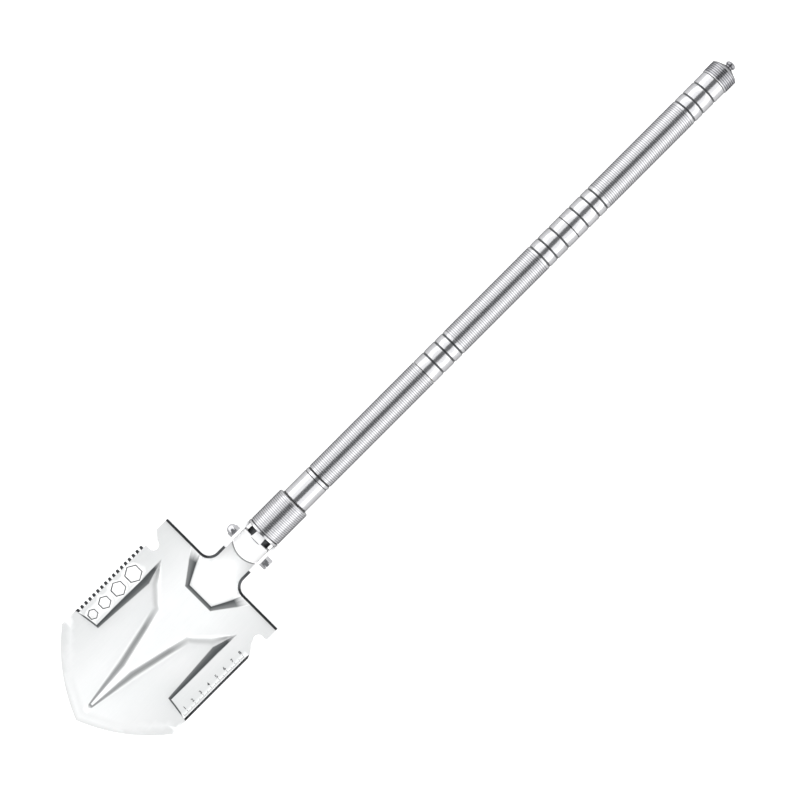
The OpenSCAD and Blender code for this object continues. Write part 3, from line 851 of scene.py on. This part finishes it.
RECESS_FLOOR = ((SHOULDER_X, 26.9), (-46.0, 22.5), (-64.3, 13.5), (-64.3, 0.0), (-8.0, 0.0), (-8.0, 17.0),
                (-25.9, 17.2))

# Across a pressed wall, from its lower edge to its upper: (share of the way, share of the rise).
WALL_STEPS = ((0.0, 0.0), (0.14, 0.05), (0.5, 0.5), (0.86, 0.95), (1.0, 1.0))
ROLL_STEPS = ((0.0, 0.0), (0.14, 0.04), (0.3, 0.2), (0.45, 0.45), (0.62, 0.75), (0.8, 0.94), (1.0, 1.0))

# Painted shade at those shares: a plank's wall, the recess's wall, and the rolls of the rib and its arms.
STEP_SHADES = {0.14: 0.10, 0.5: 0.03, 0.86: 0.0}
NOOK_SHADES = {0.14: 0.0, 0.5: 0.09, 0.86: 0.16}
ROLL_SHADES = {0.14: 0.80, 0.3: 0.28, 0.45: 0.20, 0.62: 0.30, 0.8: 0.95}
ARM_SHADES = {0.14: 0.66, 0.3: 0.55, 0.45: 0.52, 0.62: 0.6, 0.8: 0.95}


def trough(y):
    """Level of the scoop's floor."""
    return SCOOP_Z + y * y / (2 * SCOOP_R)


def ridge(x):
    """Level of the rib along its centre line: flat, then falling to the scoop at its tip."""
    if x >= RIDGE_X:
        return FACE_Z
    share = min(1.0, (RIDGE_X - x) / (RIDGE_X - RIB_TIP_X))
    return FACE_Z + (SCOOP_Z - FACE_Z) * share


def lerp(a, b, t):
    return a + (b - a) * t


def flipped(points):
    return [(x, -y) for x, y in points]


def tip_outline():
    """Points from the end of the straight side to the tip, on an arc."""
    ax, ay, bx, by = SIDE_X, HALF_W, TIP_X, 0.0
    half = math.hypot(bx - ax, by - ay) / 2
    nx, ny = (ay - by) / (2 * half), (bx - ax) / (2 * half)
    rise = math.sqrt(TIP_R ** 2 - half ** 2)
    cx, cy = (ax + bx) / 2 + rise * nx, (ay + by) / 2 + rise * ny
    first = math.atan2(ay - cy, ax - cx)
    turn = math.atan2(by - cy, bx - cx) - first
    turn = (turn + math.pi) % (2 * math.pi) - math.pi
    turns = [first + turn * i / TIP_STEPS for i in range(TIP_STEPS + 1)]
    return [(cx + TIP_R * math.cos(t), cy + TIP_R * math.sin(t)) for t in turns]


def saw_side():
    """The outline from the shoulder along the saw to the straight side's end."""
    x, y = SAW_NOTCH
    points = [(SHOULDER_X, HALF_W), *SAW_NOTCH_LEAD]
    points += [(x + NOTCH_R * math.cos(-t * math.pi / 14), y + NOTCH_R * math.sin(-t * math.pi / 14))
               for t in range(15)]
    root = HALF_W - TOOTH_DEPTH
    points.append((SAW_START_X, root))
    for i in range(TOOTH_COUNT):
        right = SAW_FIRST_X - i * TOOTH_PITCH
        points.append((right, root))
        points += [(right - inset, HALF_W - drop) for inset, drop in TOOTH_CORNER]
        if i < TOOTH_COUNT - 1:
            left = right - TOOTH_W
            points += [(left + inset, HALF_W - drop) for inset, drop in reversed(TOOTH_CORNER)]
            points.append((left, root))
    points += [(PLANK_END_X, HALF_W), (SIDE_X, HALF_W)]
    return points


def ruler_side():
    """The outline from the straight side's end along the knife edge to the shoulder."""
    x, y = RULER_NOTCH
    points = [(SIDE_X, -HALF_W), (PLANK_END_X, -HALF_W), (KNIFE_LINE_X[1], -HALF_W), *RULER_NOTCH_LEAD]
    points += [(x + NOTCH_R * math.cos(t * math.pi / 12), y + NOTCH_R * math.sin(t * math.pi / 12))
               for t in range(9, -1, -1)]
    return points + [*RULER_NOTCH_REAR, (SHOULDER_X, -HALF_W)]


def web_line():
    """The open edge between the ears."""
    ys = (-EAR_Y, *[-y for y in reversed(WEB_YS)], 0.0, *WEB_YS, EAR_Y)
    return [(WEB_X + WEB_R - math.sqrt(WEB_R ** 2 - y * y), y) for y in ys]


def neck_outline():
    """The outline from the ruler shoulder round the open web to the saw shoulder."""
    cx, cy = NECK_CENTRE
    arc = [(cx - NECK_ARC_R * math.cos(t * math.pi / 16), cy - NECK_ARC_R * math.sin(t * math.pi / 16))
           for t in range(9)]
    return ([(SHOULDER_X, -NECK_FOOT_Y)] + flipped(arc) + web_line() + arc[::-1]
            + [(SHOULDER_X, NECK_FOOT_Y)])


class Plan:
    """Points of the blade in plan, each with its level and painted shade value, and the lines between them.
    """

    def __init__(self):
        self.points = {}
        self.lines = []

    # A point's shade value is 1.0 unless given: full painted light.
    def point(self, x, y, z, shade=1.0):
        key = (round(x, 3), round(y, 3))
        self.points.setdefault(key, (z, shade))
        return key

    def line(self, keys, closed=False):
        ends = keys + keys[:1] if closed else keys
        self.lines += [(a, b) for a, b in zip(ends, ends[1:]) if a != b]


# Painted shade across the sheet, from its middle out to its sides.
MIDDLE_TONE = 0.77
SIDE_DROP = 0.15
TONE_FLAT = 18.0
TONE_SPAN = 50.0
# Painted shadow line along the open web's edge between the ears.
WEB_EDGE_SHADE = 0.0


def tone(y):
    """Painted shade across the sheet: brightest along its middle and greyer towards its sides."""
    share = min(1.0, max(0.0, (abs(y) - TONE_FLAT) / TONE_SPAN))
    return MIDDLE_TONE - SIDE_DROP * share


def add_band(plan, pairs, high, low, steps, shades, side):
    """Lines of a pressed wall between its lower edge and its upper edge."""
    for share, rise in steps:
        keys = []
        for (hx, hy), (lx, ly) in pairs:
            x, y = lerp(lx, hx, share), lerp(ly, hy, share)
            z = lerp(low(lx, ly), high(hx, hy), rise)
            keys.append(plan.point(x, side * y, z, shades.get(share, tone(y))))
        plan.line(keys)


def on_face(x, y):
    return FACE_Z


def on_scoop(x, y):
    return min(FACE_Z, trough(y)) if abs(y) < PLANK_INNER_Y or x < PLANK_MID_X else FACE_Z


def on_floor(x, y):
    return FLOOR_Z


def on_ridge(x, y):
    return ridge(x)


def inside(p, polygon):
    x, y = p
    found = False
    for (ax, ay), (bx, by) in zip(polygon, polygon[1:] + polygon[:1]):
        if (ay > y) != (by > y) and x < ax + (y - ay) * (bx - ax) / (by - ay):
            found = not found
    return found


def area_between(pairs):
    """The polygon that a wall's upper and lower edges close."""
    return [h for h, l in pairs] + [l for h, l in reversed(pairs)]


def lobe_polygon():
    """The open floor on the saw side: between plank, arm and rib, and out to the tip."""
    edge = [l for h, l in PLANK_END[::-1]] + [l for h, l in PLANK_WALL[-2:1:-1]]
    edge += [l for h, l in ARM[3:]] + [l for h, l in RIB[1:]]
    return edge


def hexagon_plan(x, y, across):
    r = across / 2 / math.cos(math.pi / 6)
    return [(x + r * math.cos(math.radians(30 + 60 * i)), y + r * math.sin(math.radians(30 + 60 * i)))
            for i in range(6)]


def inward(points, distance):
    """Points moved to the right of their line, which runs anticlockwise seen from above."""
    moved = []
    for i, (x, y) in enumerate(points):
        ax, ay = points[max(0, i - 1)]
        bx, by = points[min(len(points) - 1, i + 1)]
        length = math.hypot(bx - ax, by - ay)
        moved.append((x - (by - ay) / length * distance, y + (bx - ax) / length * distance))
    return moved


def blade_plan():
    """All lines of the blade's sheet; returns the plan, its outline and its holes."""
    plan = Plan()
    tip = tip_outline()
    outline = saw_side() + tip[1:] + flipped(tip)[-2:0:-1] + ruler_side() + neck_outline()
    holes = [hexagon_plan(x, HOLE_Y, across) for x, across in HOLES]
    for side in (1, -1):
        bands = [(PLANK_WALL, on_face, on_scoop, WALL_STEPS, STEP_SHADES),
                 (PLANK_END, on_face, on_scoop, WALL_STEPS, STEP_SHADES),
                 (ARM, on_face, on_scoop, ROLL_STEPS, ARM_SHADES),
                 (RIB, on_ridge, on_scoop, ROLL_STEPS, ROLL_SHADES),
                 (RECESS, on_face, on_floor, WALL_STEPS, NOOK_SHADES)]
        for pairs, high, low, steps, shades in bands:
            add_band(plan, pairs, high, low, steps, shades, side)
        # The rib's crest and foot keep the full shade value: painted light.
        plan.line([plan.point(x, 0.0, ridge(x)) for x in CREASE_XS])
        plan.line([plan.point(x, side * y, trough(y)) for x, y in RIB_FOOT])
        # The tip's ground bevel, with painted shade along its inner line.
        bevel = inward(tip, BEVEL_W)
        bevel = [p for p in bevel if p[1] > 0.5 and p[0] < SIDE_X + 4]
        keys = [plan.point(SIDE_X + 6, side * HALF_W, FACE_Z)]
        keys += [plan.point(x, side * y, trough(y), BEVEL_SHADES[0]) for x, y in bevel]
        keys.append(plan.point(BEVEL_TIP_X, 0.0, SCOOP_Z, BEVEL_SHADES[0]))
        plan.line(keys)
    add_band(plan, RECESS_BACK, on_face, on_floor, WALL_STEPS, NOOK_SHADES, 1)
    keys = []
    for x, y in outline:
        z, shade = FACE_Z, tone(y)
        if x < SIDE_X - 0.1:
            z, shade = trough(y) - BEVEL_DROP, BEVEL_SHADES[1]
        elif x > SHOULDER_X - 0.1 and abs(y) < NECK_FOOT_Y - 0.5:
            z = FLOOR_Z
            # A painted shadow line along the web's edge between the ears.
            if abs(y) < EAR_Y:
                shade = WEB_EDGE_SHADE
        elif y > HALF_W - TOOTH_DEPTH + 0.1 and PLANK_END_X < x < SAW_START_X - 1.0:
            z = FACE_Z - TOOTH_DROP
        elif y < -HALF_W + 0.1 and PLANK_END_X < x < KNIFE_END_X:
            z = FACE_Z - KNIFE_DROP
        keys.append(plan.point(x, y, z, shade))
    plan.line(keys, closed=True)
    # Just inside the web's edge the full shade value returns, so the painted shadow stays narrow.
    plan.line([plan.point(x - WEB_EDGE_W, y, FLOOR_Z) for x, y in web_line()[1:-1]])
    saw_ends = (SAW_START_X, PLANK_END_X + 1.4)
    plan.line([plan.point(x, HALF_W - TOOTH_DEPTH, FACE_Z) for x in saw_ends])
    plan.line([plan.point(x, KNIFE_W - HALF_W, FACE_Z) for x in KNIFE_LINE_X])
    for hole, (x, across) in zip(holes, HOLES):
        plan.line([plan.point(px, py, FACE_Z - HOLE_DROP) for px, py in hole], closed=True)
        # The rim round each hole bounds its painted shadow line.
        rim = hexagon_plan(x, HOLE_Y, across + 2 * HOLE_RIM)
        plan.line([plan.point(px, py, FACE_Z) for px, py in rim], closed=True)
    return plan, outline, holes


def seed_points(plan, outline, holes, walls):
    """Evenly spread points on the open floor and the faces, clear of every line."""
    starts = np.array([a for a, b in plan.lines])
    ways = np.array([b for a, b in plan.lines]) - starts
    lengths = (ways ** 2).sum(1)
    lobe = lobe_polygon() + [RIB_FOOT[1], (TIP_X, 0.0)] + tip_outline()[::-1]
    for row in range(-15, 16):
        for column in range(46):
            x = TIP_X + (column + 0.5 * (row % 2)) * GRID
            y = row * GRID + GRID_SHIFT
            near = np.array((x, y)) - starts
            along = np.clip((near * ways).sum(1) / lengths, 0.0, 1.0)
            gap = np.hypot(*(near - ways * along[:, None]).T).min()
            if gap < GRID_CLEAR or not inside((x, y), outline):
                continue
            if any(inside((x, y), h) for h in holes) or any(inside((x, y), w) for w in walls):
                continue
            if inside((x, abs(y)), lobe):
                plan.point(x, y, trough(y), tone(y))
            # The recess and neck floor keep the full shade value: painted light, brighter than the face
            # around them.
            elif x > RECESS_FRONT_X and (abs(y) < RECESS_HALF_Y or inside((x, abs(y)), RECESS_FLOOR)):
                plan.point(x, y, FLOOR_Z)
            else:
                plan.point(x, y, FACE_Z, tone(y))


def triangulate(plan):
    """The plan's points and triangles, with each point's level and shade."""
    keys = list(plan.points)
    index = {k: i for i, k in enumerate(keys)}
    edges = [(index[a], index[b]) for a, b in plan.lines]
    points, _, triangles, sources, _, _ = delaunay_2d_cdt([Vector(k) for k in keys], edges, [], 0, 1e-4)
    levels = []
    shades = []
    for p, source in zip(points, sources):
        if source:
            z, shade = plan.points[keys[source[0]]]
        else:
            print("blade plan: a line crosses another at", tuple(round(v, 2) for v in p))
            z, shade = FACE_Z, 1.0
        levels.append(z)
        shades.append(shade)
    return points, triangles, levels, shades


def look_at(p):
    """Which of the sheet's looks a place takes: 1, painted shade, on the teeth and the knife; 2, a painted
    shadow line, on a hole's rim.
    """
    x, y = p
    tooth = y > HALF_W - TOOTH_DEPTH and PLANK_END_X < x < SAW_START_X
    knife = y < KNIFE_W - HALF_W and PLANK_END_X < x < KNIFE_END_X
    if tooth or knife:
        return 1
    on_rim = any(inside(p, hexagon_plan(hx, HOLE_Y, across + 2 * HOLE_RIM)) for hx, across in HOLES)
    return 2 if on_rim else 0


def make_sheet():
    """The pressed sheet, from a triangulated plan: front, back and the edges between them."""
    plan, outline, holes = blade_plan()
    walls = [[(x, side * y) for x, y in area_between(pairs)]
             for side in (1, -1) for pairs in (PLANK_WALL, PLANK_END, ARM, RIB, RECESS)]
    walls.append(area_between(RECESS_BACK))
    seed_points(plan, outline, holes, walls)
    points, triangles, levels, shades = triangulate(plan)
    front = []
    paint = []
    for t in triangles:
        middle = tuple(sum((points[i] for i in t), Vector((0, 0))) / 3)
        if inside(middle, outline) and not any(inside(middle, h) for h in holes):
            front.append(tuple(t))
            paint.append(look_at(middle))
    count = len(points)
    verts = [(p.x, p.y, z) for p, z in zip(points, levels)]
    for p, z in zip(points, levels):
        on_bevel = p.x < SIDE_X - 0.1 and z < trough(p.y) - 0.5
        verts.append((p.x, p.y, z - (SHEET - BEVEL_DROP if on_bevel else SHEET)))
    back = [tuple(i + count for i in reversed(t)) for t in front]
    sides = {(a, b): None for t in front for a, b in zip(t, t[1:] + t[:1])}
    rim = [(b, a, a + count, b + count) for a, b in sides if (b, a) not in sides]
    faces = front + back + rim
    paint += [0] * (len(faces) - len(paint))
    used = sorted({i for f in faces for i in f})
    place = {i: j for j, i in enumerate(used)}
    return ([verts[i] for i in used], [tuple(place[i] for i in f) for f in faces], paint,
            [(shades + shades)[i] for i in used])


LIP_TOP = -11.9
LIP_X = (-35.6, -38.0)
LIP_YS = (69.7, 60.0, 50.0, 41.0, NECK_FOOT_Y, 33.0)
FILLET_OUTER = 9.7
FILLET_INNER = (12.1, 12.4)
FILLET_STEPS = 12
CHEEK_XS = (-20.0, -17.0, -15.75)
EAR_R = 15.6
EAR_IN = 14.5
EAR_OUT = 17.2
EAR_STEPS = 32
EAR_FOOT_X = -10.4
EAR_MIN = 0.6
WALL_CHAMFER = 0.35
WALL_RING = 8
FILLET_START_X = -34.5
EAR_START_X = -18.0
NECK_SHARP = 30.0


def ear_foot(x, deep):
    """How low the ear reaches at x: the neck's floor, then a slope, then its own round."""
    if x < EAR_FOOT_X:
        return deep
    if x < 0:
        return lerp(deep, -EAR_R, (x - EAR_FOOT_X) / -EAR_FOOT_X)
    return -math.sqrt(max(0.0, EAR_R ** 2 - x * x))


def wall_stations():
    """The wall from a shoulder round the neck to the ear: outer point, inner point, bottom, top."""
    base = FACE_Z - SHEET
    deep = FLOOR_Z - SHEET
    cx, cy = NECK_CENTRE
    stations = []
    for y in LIP_YS:
        slope = lerp(deep, base, (y - cy) / (NECK_FOOT_Y - cy))
        stations.append(((LIP_X[0], y), (LIP_X[1], y), base if y > NECK_FOOT_Y else slope, LIP_TOP))
    for t in range(FILLET_STEPS + 1):
        share = t / FILLET_STEPS
        way = (math.cos(math.pi / 2 * share), math.sin(math.pi / 2 * share))
        inner = lerp(*FILLET_INNER, share)
        stations.append(((cx - FILLET_OUTER * way[0], cy - FILLET_OUTER * way[1]),
                         (cx - inner * way[0], cy - inner * way[1]), deep, LIP_TOP))
    stations += [((x, EAR_OUT), (x, EAR_IN), deep, LIP_TOP) for x in CHEEK_XS]
    for i in range(EAR_STEPS + 1):
        x = -EAR_R * math.cos(math.pi * i / EAR_STEPS)
        rise = math.sqrt(max(0.0, EAR_R ** 2 - x * x))
        low = min(ear_foot(x, deep), -EAR_MIN)
        stations.append(((x, EAR_OUT), (x, EAR_IN), low, max(rise, EAR_MIN)))
    return stations


def make_neck_walls():
    """Both walls, each as a strip with broken edges."""
    stations = wall_stations()
    parts = []
    for side in (1, -1):
        verts = []
        for (ox, oy), (ix, iy), low, high in stations:
            cut = WALL_CHAMFER / math.hypot(ox - ix, oy - iy)
            rise = min(WALL_CHAMFER, (high - low) / 3)
            px, py = lerp(ox, ix, cut), lerp(oy, iy, cut)
            qx, qy = lerp(ix, ox, cut), lerp(iy, oy, cut)
            ring = [(ox, oy, low + rise), (ox, oy, high - rise), (px, py, high), (qx, qy, high),
                    (ix, iy, high - rise), (ix, iy, low + rise), (qx, qy, low), (px, py, low)]
            verts += [(x, side * y, z) for x, y, z in ring]
        parts.append((verts, solid_faces(len(stations), WALL_RING, side < 0)))
    return merge(*parts)


def neck_look(points):
    """Which of the neck's looks a face takes: 1, painted shade, along the shoulder's top; 2, a lighter one,
    round the fillet's.
    """
    middle = sum(x for x, y, z in points) / len(points)
    on_top = len(points) == 4 and min(z for x, y, z in points) > LIP_TOP - 1.0
    if not on_top or middle >= EAR_START_X:
        return 0
    return 1 if middle < FILLET_START_X else 2


def make_blade():
    """The pressed sheet, and the walls that run from its shoulders to the ears."""
    verts, faces, paint, shades = make_sheet()
    # Second look: painted shade on the teeth and the knife; third: a painted shadow line round the holes.
    make_piece("blade_sheet", verts, faces, "blade", "blade_steel", ["blade"],
               ["blade", "step", "groove"], paint, NECK_SHARP, shades)
    verts, faces = make_neck_walls()
    paint = [neck_look([verts[i] for i in face]) for face in faces]
    # Painted shade on the tops of the shoulders and, lighter, of the fillets.
    make_piece("blade_neck", verts, faces, "blade", "blade_steel", [],
               ["head", "step", "mark"], paint, NECK_SHARP)


RULER_ZERO_X = -155.0
RULER_CM = 10
RULER_MM = (5, 81)
TICK_Y = -67.2
TICK_HALF = 0.16
TICK_LENGTHS = (3.4, 2.6, 1.7)
MARK_SINK = 0.1
MARK_RISE = 0.06
DIGITS = 8
DIGIT_Y = -62.6
DIGIT_SIZE = 4.4
DIGIT_DEPTH = 0.05
DIGIT_BOLD = 0.08
DIGIT_LIFT = 0.02


def tick(x, length):
    """One mark of the ruler, as a thin inlay."""
    corners = [(x - TICK_HALF, TICK_Y), (x + TICK_HALF, TICK_Y),
               (x + TICK_HALF, TICK_Y + length), (x - TICK_HALF, TICK_Y + length)]
    levels = (FACE_Z - MARK_SINK, FACE_Z + MARK_RISE)
    return [(cx, cy, z) for z in levels for cx, cy in corners], BOX_FACES


def make_ruler():
    """Ruler marks in millimetres with plain digits, as thin dark inlays on the ruler plank."""
    ticks = []
    for i in range(*RULER_MM):
        rank = 0 if i % RULER_CM == 0 else 1 if i % (RULER_CM // 2) == 0 else 2
        ticks.append(tick(RULER_ZERO_X + i, TICK_LENGTHS[rank]))
    make_piece("ruler_marks", *merge(*ticks), "blade", "blade_steel", [], ["groove"])
    for digit in range(1, DIGITS + 1):
        curve = bpy.data.curves.new(f"digit_{digit}", "FONT")
        curve.body = str(digit)
        curve.size = DIGIT_SIZE * MM
        curve.extrude = DIGIT_DEPTH * MM
        curve.offset = DIGIT_BOLD * MM
        curve.align_x = "CENTER"
        curve.materials.append(LOOKS["groove"])
        text = bpy.data.objects.new(f"ruler_digit_{digit}", curve)
        bpy.context.scene.collection.objects.link(text)
        text.location = in_frame((RULER_ZERO_X + digit * RULER_CM, DIGIT_Y, FACE_Z + DIGIT_LIFT))
        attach(text, "blade")


make_camera()
make_world()
make_softboxes()
make_floor(floor_finish())
make_blade()
make_ruler()
make_handle()
make_joint_head()
make_fasteners()
finish_cad_nodes()
